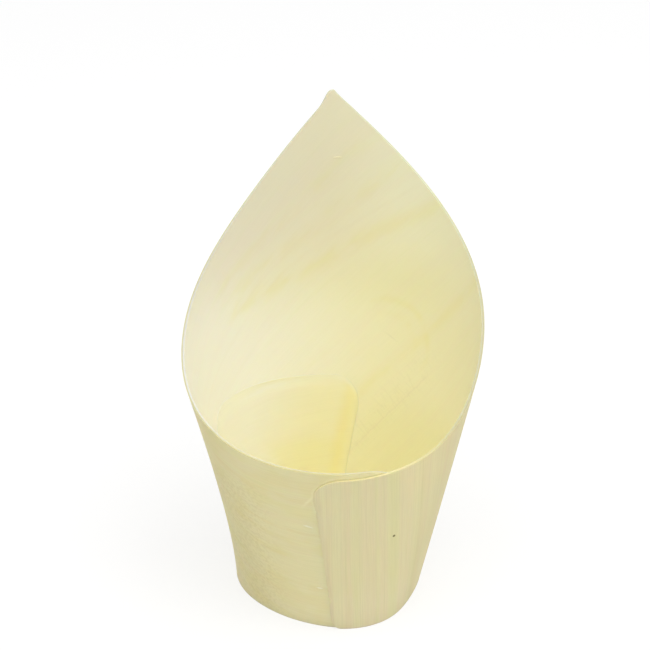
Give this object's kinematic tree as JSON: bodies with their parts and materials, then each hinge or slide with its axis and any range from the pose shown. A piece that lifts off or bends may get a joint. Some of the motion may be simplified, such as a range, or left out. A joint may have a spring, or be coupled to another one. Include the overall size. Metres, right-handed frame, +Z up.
{
  "type": "serving cone",
  "caption": "Small tapered cup rolled from wood veneer, with a lapped seam at the front, a tall pointed back and a flat bottom to stand on.",
  "frame": {"origin": "middle of the floor's underside, on the surface that the cone stands on", "axes": "+Z up along the cone's axis, +Y towards the tall peak at the back, -Y towards the seam at the front, +X to the right seen from the front"},
  "size_m": [0.0582, 0.0705, 0.0868],
  "materials": {
    "veneer": "raw sliced veneer, unsanded, matt",
    "bottom_veneer": "raw sliced veneer, unsanded, matt"
  },
  "bodies": {
    "root": {"rolled_sheet": "veneer", "bottom_insert": "bottom_veneer"}
  },
  "joints": []
}
